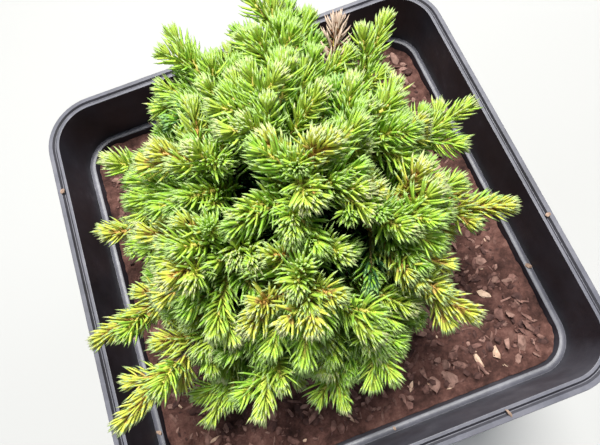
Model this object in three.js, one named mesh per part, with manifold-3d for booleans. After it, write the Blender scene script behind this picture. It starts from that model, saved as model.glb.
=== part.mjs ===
// A potted dwarf conifer: a square nursery pot with a stepped collar, filled with
// bark compost, and a low bun of evergreen shoots on a short stem. Each bough
// carries one mass of needled shoots that keeps to its own space in the crown.
// Millimetres, +Z up, origin at the centre of the pot's flat underside. -Y is the front.

import * as THREE from "three";
import { mergeVertices } from "three/addons/utils/BufferGeometryUtils.js";
import Module from "manifold-3d";

const wasm = await Module();
wasm.setup();

// Pot
const potHeight = 140;
const potWall = 1.4;
const footHalf = 56; // half the width of the underside
const footCorner = 13;
const shoulderHalf = 71.2; // inside half width at the ledge
const ledgeWidth = 2.4;
const collarDepth = 21.8; // from the rim down to the ledge
const collarDraft = 0.9; // how much wider the collar is at the rim than at the ledge
const lipReach = 4.1; // how far the rim's lip stands out from the collar's inside
const lipDrop = 5.5;
const cornerRadius = 11;
const cornerSteps = 4;
const drainRadius = 4;
const drainOffset = 40;
const drainSides = 8;

// Compost
const gap = 0.3; // between neighbouring solids
const soilTop = 117.4;
const soilEdgeDrop = 1.6;
const soilBumps = 2.4; // scales waves that fade out at the middle and at the edge
const soilRings = 5;

// Trunk
const trunkFoot = soilTop + gap;
const trunkTip = 171;
const trunkFootRadius = 4.4;
const trunkTipRadius = 1.3;
const flareHeight = 5;
const flareSpread = 1.9;
const flareRoots = 5;
const trunkLean = new THREE.Vector2(1.6, -1.2);
const trunkSides = 10;
const trunkRings = 9;
const ringCrowding = 1.4; // sets the rings closer together at the foot

// Boughs
const crownHeart = new THREE.Vector3(0, 0, 146);
const boughRootRadius = 1.7;
const boughOfTrunk = 0.8; // a bough's greatest share of the trunk's radius where it leaves it
const boughTipRadius = 1;
const boughSides = 5;
const kneeAt = 0.55;
const boughSag = 2.5;

// Foliage. Lengths along a mass's stem are taken from its middle, outwards.
const middleShare = 0.68; // of a mass's bun, from the heart of the crown
const sideShare = 0.15; // how much of the leading shoot's length past the bun side twigs may have
const stemFoot = -15;
const stemLead = 2; // how far the stem runs straight on from its bough
const coreMiddle = -5.8;
const coreLength = 7.4; // half of it
const coreWidth = 13.5; // half of it, before it is trimmed to the mass's space
const coreBulge = 1.1; // makes up for its flat faces
const twigFirst = -12;
const twigLast = 23; // short of the leading shoot's tip
const twigSpread = [66, 36].map(THREE.MathUtils.degToRad); // off the stem, first and last
const twigLengths = [29, 20];
const twigVariation = 0.16; // of its length
const twigRadius = 1.8;
const twigTipRadius = 0.8;
const twigSunk = 4; // how deep in the core a twig is rooted
const ringSpacing = 5;
const shootSides = 3;
const needleLength = 6;
const needleLean = THREE.MathUtils.degToRad(48); // off the twig
const tipNeedle = 4.5;
const shootRoom = 3.6; // a needle stays this far from its mass's other twigs
const cellMargin = 0.22;
const limbMargin = 0.45;
const limbSamples = 8; // points along a twig or needle that are held clear of the limbs
const refits = 9; // tries to bring a twig into its mass's space
const straightening = 0.87; // of its angle off the stem, each time
const shortening = 0.94; // of its length, each time
const goldenAngle = Math.PI * (3 - Math.sqrt(5));

// Azimuth is from +X towards +Y and elevation from the horizontal, both in degrees
// at the heart of the crown. Reach is from there to the leading shoot's last needle, and
// bun is how far out the rest of the mass comes. Rise is the share of the trunk's height
// where the bough leaves it.
const masses = [
  { name: "low_back_right", azimuth: 48, elevation: 2, reach: 52, bun: 46, rise: 0.14, twigs: 5 },
  { name: "low_back", azimuth: 88, elevation: 3, reach: 56, bun: 51, rise: 0.22, twigs: 5 },
  { name: "low_back_left", azimuth: 122, elevation: 8, reach: 64, bun: 52, rise: 0.3, twigs: 6 },
  { name: "low_left", azimuth: 161, elevation: -1, reach: 70, bun: 54, rise: 0.14, twigs: 7 },
  { name: "low_front_left", azimuth: 225, elevation: -4, reach: 70, bun: 54, rise: 0.22, twigs: 7 },
  { name: "low_front", azimuth: 262, elevation: 3, reach: 60, bun: 49, rise: 0.3, twigs: 7 },
  { name: "low_front_right", azimuth: 298, elevation: 0, reach: 50, bun: 43, rise: 0.14, twigs: 5 },
  { name: "low_right", azimuth: 352, elevation: -2, reach: 44, bun: 41, rise: 0.22, twigs: 5 },
  { name: "left", azimuth: 146, elevation: 20, reach: 65, bun: 54, rise: 0.4, twigs: 5 },
  { name: "left_leader", azimuth: 195, elevation: 16, reach: 72, bun: 50, rise: 0.48, twigs: 8 },
  { name: "front_left_leader", azimuth: 213, elevation: 16, reach: 80, bun: 52, rise: 0.56, twigs: 10 },
  { name: "front", azimuth: 241, elevation: 20, reach: 64, bun: 51, rise: 0.4, twigs: 6 },
  { name: "front_right", azimuth: 277, elevation: 19, reach: 60, bun: 53, rise: 0.48, twigs: 5 },
  { name: "front_right_leader", azimuth: 304, elevation: 21, reach: 63, bun: 45, rise: 0.56, twigs: 7 },
  { name: "right_leader", azimuth: 337, elevation: 19, reach: 65, bun: 44, rise: 0.4, twigs: 7 },
  { name: "right", azimuth: 8, elevation: 22, reach: 64, bun: 43, rise: 0.48, twigs: 7 },
  { name: "back_right_leader", azimuth: 41, elevation: 33, reach: 68, bun: 47, rise: 0.56, twigs: 7 },
  { name: "back", azimuth: 76, elevation: 38, reach: 73, bun: 63, rise: 0.4, twigs: 7 },
  { name: "back_left", azimuth: 107, elevation: 34, reach: 70, bun: 60, rise: 0.48, twigs: 6 },
  { name: "upper_back_right", azimuth: 14, elevation: 55, reach: 57, bun: 54, rise: 0.72, twigs: 5 },
  { name: "upper_back", azimuth: 92, elevation: 66, reach: 60, bun: 58, rise: 0.88, twigs: 5 },
  { name: "upper_left", azimuth: 150, elevation: 53, reach: 58, bun: 57, rise: 0.8, twigs: 5 },
  { name: "upper_front_left", azimuth: 203, elevation: 48, reach: 60, bun: 58, rise: 0.64, twigs: 5 },
  { name: "upper_front", azimuth: 258, elevation: 50, reach: 61, bun: 58, rise: 0.72, twigs: 5 },
  { name: "upper_right", azimuth: 318, elevation: 50, reach: 59, bun: 55, rise: 0.64, twigs: 5 },
  { name: "top", azimuth: 280, elevation: 84, reach: 61, bun: 59, rise: 1, twigs: 5 },
];

const materials = {
  pot: new THREE.MeshStandardMaterial({ color: 0x1b1c20, roughness: 0.55 }),
  compost: new THREE.MeshStandardMaterial({ color: 0x4a2f27, roughness: 0.95 }),
  bark: new THREE.MeshStandardMaterial({ color: 0x5a4433, roughness: 0.9 }),
  foliage: new THREE.MeshStandardMaterial({ color: 0x6f9a2b, roughness: 0.6 }),
};

// Seeded numbers from 0 to 1, the same on every run.
function seededRandom(seed) {
  let state = seed;
  return () => {
    state = (state + 0x6d2b79f5) | 0;
    let t = Math.imul(state ^ (state >>> 15), 1 | state);
    t = (t + Math.imul(t ^ (t >>> 7), 61 | t)) ^ t;
    return ((t ^ (t >>> 14)) >>> 0) / 4294967296;
  };
}

// A closed three.js geometry as a solid that can be joined and cut.
function toSolid(geometry) {
  const plain = geometry.clone();
  plain.deleteAttribute("normal");
  plain.deleteAttribute("uv");
  const merged = mergeVertices(plain, 1e-4);
  return new wasm.Manifold(
    new wasm.Mesh({
      numProp: 3,
      vertProperties: merged.attributes.position.array,
      triVerts: new Uint32Array(merged.index.array),
    }),
  );
}

function toGeometry(solid) {
  const mesh = solid.getMesh();
  const positions = new Float32Array(mesh.numVert * 3);
  for (let i = 0; i < mesh.numVert; i++) {
    positions.set(mesh.vertProperties.subarray(i * mesh.numProp, i * mesh.numProp + 3), i * 3);
  }
  const geometry = new THREE.BufferGeometry();
  geometry.setAttribute("position", new THREE.BufferAttribute(positions, 3));
  geometry.setIndex(new THREE.BufferAttribute(mesh.triVerts, 1));
  geometry.computeVertexNormals();
  return geometry;
}

// The largest body of a fused solid, with sealed hollows filled and loose scraps dropped.
function mainBody(solid) {
  return solid.decompose().reduce((best, body) => (body.volume() > best.volume() ? body : best));
}

// Triangles with shared corners as one closed geometry.
function skin(triangles) {
  const geometry = new THREE.BufferGeometry().setFromPoints(triangles.flat());
  return mergeVertices(geometry, 1e-5);
}

// Skins a stack of rings of points, one after another, and closes both ends with a fan.
function loft(rings) {
  const triangles = [];
  const cap = (ring, flip) => {
    const middle = new THREE.Vector3();
    ring.forEach((p) => middle.addScaledVector(p, 1 / ring.length));
    ring.forEach((p, i) => {
      const next = ring[(i + 1) % ring.length];
      triangles.push(flip ? [middle, next, p] : [middle, p, next]);
    });
  };
  cap(rings[0], true);
  rings.slice(1).forEach((upper, r) => {
    const lower = rings[r];
    lower.forEach((a, i) => {
      const b = lower[(i + 1) % lower.length];
      const c = upper[(i + 1) % upper.length];
      triangles.push([a, b, c], [a, c, upper[i]]);
    });
  });
  cap(rings[rings.length - 1], false);
  return skin(triangles);
}

// A square with round corners at one height, as a ring of points.
function squareRing(half, radius, z) {
  const shape = new THREE.Shape();
  const centre = half - radius;
  [0, 1, 2, 3].forEach((quarter) => {
    const start = (quarter * Math.PI) / 2;
    const x = quarter === 0 || quarter === 3 ? centre : -centre;
    const y = quarter < 2 ? centre : -centre;
    shape.absarc(x, y, radius, start, start + Math.PI / 2, false);
  });
  const arcs = shape.curves.filter((curve) => curve.isEllipseCurve);
  const outline = arcs.flatMap((arc) => arc.getPoints(cornerSteps));
  return outline.map((p) => new THREE.Vector3(p.x, p.y, z));
}

function makePot() {
  const ledgeZ = potHeight - collarDepth;
  const collarFoot = shoulderHalf + ledgeWidth;
  const collarTop = collarFoot + collarDraft;
  const lipHalf = collarTop + lipReach;
  const inner = (half) => cornerRadius + half - shoulderHalf;
  const ring = (half, z) => squareRing(half, inner(half), z);
  const rings = [
    squareRing(footHalf, footCorner, 0),
    ring(shoulderHalf + potWall, ledgeZ - potWall),
    ring(collarFoot + potWall, ledgeZ - potWall),
    ring(collarTop + potWall, potHeight - potWall),
    ring(lipHalf - potWall, potHeight - potWall),
    ring(lipHalf - potWall, potHeight - lipDrop),
    ring(lipHalf, potHeight - lipDrop),
    ring(lipHalf, potHeight - potWall / 2),
    ring(lipHalf - potWall / 2, potHeight),
    ring(collarTop + potWall / 2, potHeight),
    ring(collarTop, potHeight - potWall / 2),
    ring(collarFoot, ledgeZ),
    ring(shoulderHalf + potWall / 2, ledgeZ),
    ring(shoulderHalf, ledgeZ - potWall / 2),
    squareRing(footHalf - potWall, footCorner - potWall, potWall),
  ];
  let pot = toSolid(loft(rings));
  for (const column of [-1, 0, 1]) {
    for (const row of [-1, 0, 1]) {
      if (column === 0 && row === 0) continue;
      const drill = new THREE.CylinderGeometry(drainRadius, drainRadius, 4 * potWall, drainSides);
      drill.rotateX(Math.PI / 2);
      drill.translate(column * drainOffset, row * drainOffset, 0);
      pot = pot.subtract(toSolid(drill));
    }
  }
  return toGeometry(pot);
}

// The half width of the pot's inside at a height below the ledge.
function insideHalf(z) {
  const share = (z - potWall) / (potHeight - collarDepth - potWall / 2 - potWall);
  return THREE.MathUtils.lerp(footHalf - potWall, shoulderHalf, share);
}

// Bark compost, domed a little towards the stem and uneven in between.
function makeCompost() {
  const clear = gap * 1.2; // the pot's walls slope, so across them the gap is wider
  const footZ = potWall + gap;
  const edgeHalf = insideHalf(soilTop - soilEdgeDrop) - clear;
  const rings = [squareRing(insideHalf(footZ) - clear, footCorner - potWall, footZ)];
  for (let i = 0; i < soilRings; i++) {
    const share = 1 - i / soilRings;
    const ring = squareRing(edgeHalf * share, cornerRadius * share, soilTop - soilEdgeDrop * share ** 2);
    ring.forEach((p) => {
      const wave = Math.sin(p.x * 0.11 + 1) * Math.cos(p.y * 0.13);
      p.z += soilBumps * wave * share ** 2 * (1 - share);
    });
    rings.push(ring);
  }
  return loft(rings);
}

// The middle of the trunk at a share of its height.
function trunkPoint(share) {
  const bend = share * share;
  return new THREE.Vector3(
    trunkLean.x * bend,
    trunkLean.y * bend,
    THREE.MathUtils.lerp(trunkFoot, trunkTip, share),
  );
}

function trunkRadius(share) {
  return THREE.MathUtils.lerp(trunkFootRadius, trunkTipRadius, share ** 0.85);
}

// The stem, with root flare; extra thickens it where it is cut out of its neighbours.
function makeTrunk(extra = 0) {
  const rings = [];
  for (let i = 0; i <= trunkRings; i++) {
    const share = (i / trunkRings) ** ringCrowding;
    const middle = trunkPoint(share);
    const flare = flareSpread * Math.exp(-(middle.z - trunkFoot) / flareHeight);
    const ring = [];
    for (let side = 0; side < trunkSides; side++) {
      const turn = (side / trunkSides) * 2 * Math.PI;
      const lobe = 0.6 + 0.4 * Math.cos(flareRoots * turn);
      const radius = trunkRadius(share) + flare * lobe + extra;
      ring.push(middle.clone().add(new THREE.Vector3(radius * Math.cos(turn), radius * Math.sin(turn), 0)));
    }
    rings.push(ring);
  }
  return loft(rings);
}

// Rings of points round a path, each turned by a share of a side from the one before.
function ringsAlong(points, radii, sides, turn = 0) {
  return points.map((middle, i) => {
    const ahead = points[Math.min(i + 1, points.length - 1)];
    const behind = points[Math.max(i - 1, 0)];
    const axis = ahead.clone().sub(behind).normalize();
    const aside = new THREE.Vector3(0.31, 0.17, 0.93).cross(axis).normalize();
    const up = axis.clone().cross(aside);
    return Array.from({ length: sides }, (_, side) => {
      const angle = ((side + turn * i) / sides) * 2 * Math.PI;
      return middle
        .clone()
        .addScaledVector(aside, radii[i] * Math.cos(angle))
        .addScaledVector(up, radii[i] * Math.sin(angle));
    });
  });
}

// Adds to a mass its direction, its middle, how far its tip is from there, how far from
// the heart its side twigs may come, and its bough.
function layOut(mass) {
  const azimuth = THREE.MathUtils.degToRad(mass.azimuth);
  const elevation = THREE.MathUtils.degToRad(mass.elevation);
  const direction = new THREE.Vector3(
    Math.cos(azimuth) * Math.cos(elevation),
    Math.sin(azimuth) * Math.cos(elevation),
    Math.sin(elevation),
  );
  const middleAt = mass.bun * middleShare;
  const middle = crownHeart.clone().addScaledVector(direction, middleAt);
  const leaderTip = mass.reach - middleAt;
  const sideReach = THREE.MathUtils.lerp(mass.bun, mass.reach, sideShare);
  const root = trunkPoint(mass.rise);
  const tip = middle.clone().addScaledVector(direction, stemFoot);
  const knee = root.clone().lerp(tip, kneeAt);
  knee.z -= boughSag;
  const bough = [root, knee, tip];
  const thick = Math.min(boughRootRadius, boughOfTrunk * trunkRadius(mass.rise));
  const radii = [thick, (thick + boughTipRadius) / 2, boughTipRadius];
  return { ...mass, direction, bough, radii, middle, leaderTip, sideReach };
}

// The least distance to the segment cd from points along the segment ab.
function segmentDistance(a, b, c, d) {
  const line = new THREE.Line3(c, d);
  const nearest = new THREE.Vector3();
  let least = Infinity;
  for (let i = 0; i <= limbSamples; i++) {
    const p = a.clone().lerp(b, i / limbSamples);
    line.closestPointToPoint(p, true, nearest);
    least = Math.min(least, p.distanceTo(nearest));
  }
  return least;
}

const crown = masses.map(layOut);
const topMass = crown[crown.length - 1];
topMass.bough = null; // the leading mass stands on the trunk's own tip

// Every limb as short straight pieces with one radius each.
const limbs = [];
for (let i = 0; i < trunkRings; i++) {
  const low = i / trunkRings;
  limbs.push({
    from: trunkPoint(low),
    to: trunkPoint(low + 1 / trunkRings),
    radius: trunkRadius(low) + (i === 0 ? flareSpread : 0),
  });
}
crown.forEach(({ bough, radii }) => {
  if (!bough) return;
  limbs.push({ from: bough[0], to: bough[1], radius: radii[0] });
  limbs.push({ from: bough[1], to: bough[2], radius: radii[1] });
});

function clearOfLimbs(from, to, thickness) {
  return limbs.every(
    (limb) => segmentDistance(from, to, limb.from, limb.to) > limb.radius + thickness + limbMargin,
  );
}

// Whether a point is nearer to its own mass's middle than to any other mass's.
function inCell(point, own) {
  return crown.every((other) => {
    if (other === own) return true;
    const across = other.middle.clone().sub(own.middle);
    const halfway = across.length() / 2;
    return point.clone().sub(own.middle).dot(across.normalize()) < halfway - cellMargin;
  });
}

// Whether a point is over the compost, and inside the collar as long as it is below the rim.
function clearOfPot(point) {
  const side = Math.max(Math.abs(point.x), Math.abs(point.y));
  return point.z > soilTop + 1 && (point.z > potHeight + 1 || side < shoulderHalf - 2);
}

// Cuts away what lies outside a mass's own cell, or within reach of a limb.
function trimToCell(solid, own) {
  let trimmed = solid;
  crown.forEach((other) => {
    if (other === own) return;
    const inward = own.middle.clone().sub(other.middle);
    const halfway = own.middle.clone().add(other.middle).divideScalar(2);
    inward.normalize();
    trimmed = trimmed.trimByPlane(inward.toArray(), halfway.dot(inward) + cellMargin);
  });
  limbs.forEach(({ from, to, radius }) => {
    const away = segmentDistance(own.middle, own.middle, from, to);
    if (away > 1.5 * coreWidth || (own.bough && to === own.bough[2])) return;
    const thick = radius + limbMargin;
    trimmed = trimmed.subtract(toSolid(loft(ringsAlong([from, to], [thick, thick], boughSides + 1))));
  });
  return trimmed;
}

// How far along a twig the surface of its mass's core lies.
function leaveCore(root, axis, own) {
  const centre = own.middle.clone().addScaledVector(own.direction, coreMiddle);
  const step = 0.25;
  let along = 0;
  let inside = true;
  while (inside) {
    along += step;
    const offset = root.clone().addScaledVector(axis, along).sub(centre);
    const lengthwise = offset.dot(own.direction);
    const across = Math.sqrt(Math.max(0, offset.lengthSq() - lengthwise ** 2));
    inside = (lengthwise / coreLength) ** 2 + (across / coreWidth) ** 2 < 1;
  }
  return Math.max(along, twigSunk);
}

// The twigs of a mass: its leading shoot, then side twigs set round the stem by the
// golden angle, wide and long at first and closer to the stem further out.
function branchTwigs(own, random) {
  const alongStem = (along) => own.middle.clone().addScaledVector(own.direction, along);
  const aside = new THREE.Vector3(0, 0, 1).cross(own.direction).normalize();
  const up = own.direction.clone().cross(aside);
  const firstRoll = random() * 2 * Math.PI;
  const leaderLength = own.leaderTip - coreMiddle - tipNeedle;
  const twigs = [{ root: alongStem(coreMiddle), spread: 0, away: aside, length: leaderLength }];
  for (let i = 0; i < own.twigs; i++) {
    const share = i / (own.twigs - 1);
    const roll = firstRoll + i * goldenAngle;
    twigs.push({
      root: alongStem(THREE.MathUtils.lerp(twigFirst, own.leaderTip - twigLast, share)),
      away: aside.clone().multiplyScalar(Math.cos(roll)).addScaledVector(up, Math.sin(roll)),
      spread: THREE.MathUtils.lerp(...twigSpread, share),
      length: THREE.MathUtils.lerp(...twigLengths, share) * (1 + twigVariation * (random() - 0.5)),
    });
  }
  return twigs;
}

// A slim twig, bare where it is rooted in the core, whose other faces are drawn out into needles.
function makeShoot(twig, own, otherTwigs) {
  const axis = twig.tip.clone().sub(twig.root).normalize();
  const surface = leaveCore(twig.root, axis, own);
  const leave = twig.root.clone().addScaledVector(axis, surface);
  const leafyRings = Math.max(1, Math.round(leave.distanceTo(twig.tip) / ringSpacing));
  const points = [twig.root.clone().addScaledVector(axis, surface - twigSunk)];
  const radii = [twigRadius];
  for (let i = 0; i <= leafyRings; i++) {
    points.push(leave.clone().lerp(twig.tip, i / leafyRings));
    radii.push(THREE.MathUtils.lerp(twigRadius, twigTipRadius, i / leafyRings));
  }
  const rings = ringsAlong(points, radii, shootSides, 0.5);
  const triangles = [[rings[0][0], rings[0][2], rings[0][1]]];
  const addFace = (a, b, c, leafy) => {
    const foot = a.clone().add(b).add(c).divideScalar(3);
    const outward = foot.clone().sub(leave);
    outward.addScaledVector(axis, -outward.dot(axis)).normalize();
    const needle = foot
      .clone()
      .addScaledVector(axis, needleLength * Math.cos(needleLean))
      .addScaledVector(outward, needleLength * Math.sin(needleLean));
    const fits =
      leafy &&
      inCell(needle, own) &&
      clearOfPot(needle) &&
      clearOfLimbs(foot, needle, 0) &&
      otherTwigs.every((other) => segmentDistance(needle, needle, other.root, other.tip) > shootRoom);
    if (fits) triangles.push([a, b, needle], [b, c, needle], [c, a, needle]);
    else triangles.push([a, b, c]);
  };
  rings.slice(1).forEach((upper, r) => {
    const lower = rings[r];
    for (let i = 0; i < shootSides; i++) {
      const next = (i + 1) % shootSides;
      addFace(lower[i], lower[next], upper[i], r > 0);
      addFace(upper[i], lower[next], upper[next], r > 0);
    }
  });
  const last = rings[rings.length - 1];
  const point = twig.tip.clone().addScaledVector(axis, tipNeedle);
  triangles.push([last[0], last[1], point], [last[1], last[2], point], [last[2], last[0], point]);
  return skin(triangles);
}

// Draws a twig in towards the stem until it keeps to its mass's space, or gives up on it.
function fitTwig({ root, away, spread, length }, own) {
  for (let i = 0; i < refits; i++) {
    const angle = spread * straightening ** i;
    const axis = own.direction.clone().multiplyScalar(Math.cos(angle)).addScaledVector(away, Math.sin(angle));
    const tip = root.clone().addScaledVector(axis, length * shortening ** i);
    const point = tip.clone().addScaledVector(axis, tipNeedle);
    const surface = leaveCore(root, axis, own);
    const long = root.distanceTo(tip) > surface + ringSpacing / 2;
    const leave = root.clone().addScaledVector(axis, surface);
    const within = spread === 0 || point.distanceTo(crownHeart) < own.sideReach;
    if (long && within && inCell(point, own) && clearOfPot(point) && clearOfLimbs(leave, tip, twigRadius)) {
      return { root, tip };
    }
  }
  return null;
}

// One mass: a stem, a core cut to the mass's space, and shoots that stand out of it.
function makeMass(own, seed) {
  const limbTip = own.bough ? own.bough[2] : trunkPoint(1);
  const limbAxis = own.bough ? limbTip.clone().sub(own.bough[1]).normalize() : new THREE.Vector3(0, 0, 1);
  const stemPath = [gap, stemLead].map((along) => limbTip.clone().addScaledVector(limbAxis, along));
  const stem = ringsAlong([...stemPath, own.middle], [boughTipRadius, boughTipRadius, twigRadius], 4);

  const core = new THREE.IcosahedronGeometry(coreBulge, 0);
  core.scale(coreWidth, coreWidth, coreLength);
  core.translate(0, 0, coreMiddle);
  core.applyQuaternion(new THREE.Quaternion().setFromUnitVectors(new THREE.Vector3(0, 0, 1), own.direction));
  core.translate(...own.middle.toArray());

  let solid = trimToCell(toSolid(core).add(toSolid(loft(stem))), own);
  const twigs = branchTwigs(own, seededRandom(seed)).map((twig) => fitTwig(twig, own)).filter(Boolean);
  twigs.forEach((twig) => {
    const otherTwigs = twigs.filter((other) => other !== twig);
    solid = solid.add(toSolid(makeShoot(twig, own, otherTwigs)));
  });
  return toGeometry(mainBody(solid));
}

const plant = new THREE.Group();

function addPart(name, geometry, material) {
  const mesh = new THREE.Mesh(geometry, material);
  mesh.name = name;
  plant.add(mesh);
}

addPart("pot", makePot(), materials.pot);
addPart("compost", makeCompost(), materials.compost);
addPart("trunk", makeTrunk(), materials.bark);

const trunkClearance = toSolid(makeTrunk(gap));
crown.forEach((mass, index) => {
  if (mass.bough) {
    const whole = toSolid(loft(ringsAlong(mass.bough, mass.radii, boughSides)));
    addPart("bough_" + mass.name, toGeometry(mainBody(whole.subtract(trunkClearance))), materials.bark);
  }
  addPart("foliage_" + mass.name, makeMass(mass, 101 + index), materials.foliage);
});

export default plant;
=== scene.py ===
# A potted dwarf conifer: black nursery pot, bark compost, a short stem with its boughs
# and a dense bun of needled shoots. Sizes are in millimetres and turned into metres
# when a mesh is made. +Z is up and the origin is the middle of the pot's underside.

import math
from collections import namedtuple
from types import SimpleNamespace

import bmesh
import bpy
import numpy as np
from mathutils import Matrix, Vector, noise


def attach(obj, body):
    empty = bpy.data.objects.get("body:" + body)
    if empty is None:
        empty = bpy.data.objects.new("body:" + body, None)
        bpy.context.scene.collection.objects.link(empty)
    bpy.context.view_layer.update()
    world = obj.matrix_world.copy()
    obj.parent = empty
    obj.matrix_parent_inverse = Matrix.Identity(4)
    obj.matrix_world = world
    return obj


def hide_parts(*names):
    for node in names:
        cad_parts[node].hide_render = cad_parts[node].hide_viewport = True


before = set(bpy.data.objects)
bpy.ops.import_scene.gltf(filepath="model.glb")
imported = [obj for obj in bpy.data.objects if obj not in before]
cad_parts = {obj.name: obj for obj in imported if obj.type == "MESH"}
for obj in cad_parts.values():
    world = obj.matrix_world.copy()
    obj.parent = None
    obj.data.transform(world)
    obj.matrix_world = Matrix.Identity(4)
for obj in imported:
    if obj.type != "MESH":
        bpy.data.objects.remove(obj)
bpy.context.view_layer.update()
mm = 0.001


# Materials

# Sets a node's inputs and settings by name; the output of another node is linked in
def setNode(material, node, values):
    for name, value in values.items():
        if isinstance(value, bpy.types.NodeSocket):
            material.node_tree.links.new(value, node.inputs[name])
        elif name in node.inputs:
            node.inputs[name].default_value = value
        else:
            setattr(node, name, value)
    return node


def addNode(material, kind, **values):
    return setNode(material, material.node_tree.nodes.new(kind), values)


def newMaterial(name, colour, roughness, specular=0.5):
    material = bpy.data.materials.new(name)
    material.use_nodes = True
    shader = material.node_tree.nodes["Principled BSDF"]
    look = {"Base Color": (*colour, 1), "Roughness": roughness, "Specular IOR Level": specular}
    return material, setNode(material, shader, look)


# Noise from 0 to 1 in object coordinates
def noisePattern(material, scale, detail, roughness=0.6, stretch=(1, 1, 1)):
    place = addNode(material, "ShaderNodeTexCoord").outputs["Object"]
    stretched = addNode(material, "ShaderNodeMapping", Vector=place, Scale=stretch).outputs["Vector"]
    look = {"Scale": scale, "Detail": detail, "Roughness": roughness}
    return addNode(material, "ShaderNodeTexNoise", Vector=stretched, **look).outputs["Fac"]


def colourRamp(material, factor, stops):
    ramp = addNode(material, "ShaderNodeValToRGB", Fac=factor)
    elements = ramp.color_ramp.elements
    while len(elements) < len(stops):
        elements.new(0.5)
    for element, (position, colour) in zip(elements, stops):
        element.position = position
        element.color = (*colour, 1)
    return ramp.outputs["Color"]


def valueRange(material, value, low, high, fromLow=0, fromHigh=1):
    limits = {"From Min": fromLow, "From Max": fromHigh, "To Min": low, "To Max": high}
    return addNode(material, "ShaderNodeMapRange", Value=value, **limits).outputs["Result"]


def combine(material, operation, first, second):
    node = addNode(material, "ShaderNodeMath", operation=operation)
    return setNode(material, node, {0: first, 1: second}).outputs["Value"]


def addBump(material, shader, height, distance, strength):
    bump = addNode(material, "ShaderNodeBump", Height=height, Strength=strength, Distance=distance)
    setNode(material, shader, {"Normal": bump.outputs["Normal"]})


# How far a face turns up or back, and where along Y in metres, before dust and a painted highlight show on
# it
potFinish = {
    "turnedUp": (0.74, 0.95),
    "turnedBack": (0.4, 0.95),
    "frontWall": (-0.06, -0.04),
    "insideDustAndSheen": 0.6,
    "roughness": (0.34, 0.6),
}


def potPlastic():
    material, shader = newMaterial("black moulded plastic", (0.02, 0.02, 0.024), 0.4)
    dust = noisePattern(material, 60, detail=8, roughness=0.7)
    clean = colourRamp(material, dust, [
        (0.35, (0.006, 0.005, 0.008)),
        (0.60, (0.015, 0.014, 0.020)),
        (0.82, (0.060, 0.057, 0.067)),
    ])
    # The lighter colours stand for dust and a painted highlight on the plastic
    dustAndSheen = colourRamp(material, dust, [
        (0.30, (0.046, 0.046, 0.058)),
        (0.50, (0.074, 0.075, 0.094)),
        (0.75, (0.135, 0.133, 0.155)),
    ])
    # Dust and a painted highlight lie on the rim and the ledge, where the plastic faces up, and dust and a
    # painted reflection inside the front wall
    normal = addNode(material, "ShaderNodeNewGeometry").outputs["Normal"]
    place = addNode(material, "ShaderNodeTexCoord").outputs["Object"]
    facing = addNode(material, "ShaderNodeSeparateXYZ", Vector=normal).outputs
    where = addNode(material, "ShaderNodeSeparateXYZ", Vector=place).outputs
    upward = valueRange(material, facing["Z"], 0, 1, *potFinish["turnedUp"])
    # The inside of the front wall is lightened too, a painted reflection of grazing light with some dust
    backward = valueRange(material, facing["Y"], 0, potFinish["insideDustAndSheen"], *potFinish["turnedBack"])
    atFront = valueRange(material, where["Y"], 1, 0, *potFinish["frontWall"])
    inside = combine(material, "MULTIPLY", backward, atFront)
    amount = combine(material, "MAXIMUM", upward, inside)
    blend = addNode(material, "ShaderNodeMix", data_type="RGBA", Factor=amount, A=clean, B=dustAndSheen)
    scuffs = noisePattern(material, 180, detail=5, roughness=0.65, stretch=(1, 1, 0.25))
    roughness = valueRange(material, scuffs, *potFinish["roughness"])
    setNode(material, shader, {"Base Color": blend.outputs["Result"], "Roughness": roughness})
    addBump(material, shader, noisePattern(material, 1400, detail=2), 0.00006, 0.5)
    return material


def compostMaterial():
    material, shader = newMaterial("bark compost", (0.06, 0.03, 0.02), 0.92, specular=0.25)
    grains = noisePattern(material, 260, detail=9, roughness=0.72)
    patches = noisePattern(material, 75, detail=3, roughness=0.5)
    mixed = addNode(material, "ShaderNodeMix", data_type="FLOAT", Factor=0.4, A=grains, B=patches)
    colour = colourRamp(material, mixed.outputs["Result"], [
        (0.36, (0.014, 0.005, 0.004)),
        (0.47, (0.047, 0.020, 0.016)),
        (0.56, (0.091, 0.041, 0.033)),
        (0.68, (0.160, 0.085, 0.069)),
    ])
    setNode(material, shader, {"Base Color": colour})
    addBump(material, shader, noisePattern(material, 900, detail=6, roughness=0.7), 0.0006, 0.8)
    return material


def chipMaterial(name, dark, light):
    material, shader = newMaterial(name, light, 0.85, specular=0.3)
    fibres = noisePattern(material, 420, detail=5, stretch=(1, 1, 2.5))
    colour = colourRamp(material, fibres, [(0.32, dark), (0.66, light)])
    setNode(material, shader, {"Base Color": colour})
    return material


def barkMaterial():
    material, shader = newMaterial("bark", (0.1, 0.06, 0.04), 0.88, specular=0.3)
    plates = noisePattern(material, 420, detail=8, roughness=0.7, stretch=(1, 1, 0.45))
    colour = colourRamp(material, plates, [
        (0.30, (0.030, 0.018, 0.012)),
        (0.52, (0.110, 0.066, 0.040)),
        (0.72, (0.230, 0.155, 0.100)),
    ])
    setNode(material, shader, {"Base Color": colour})
    addBump(material, shader, plates, 0.0005, 0.9)
    return material


# Making meshes

def unitRows(vectors):
    return vectors / np.linalg.norm(vectors, axis=-1, keepdims=True)


def addObject(name, data):
    added = bpy.data.objects.new(name, data)
    bpy.context.scene.collection.objects.link(added)
    return added


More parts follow.
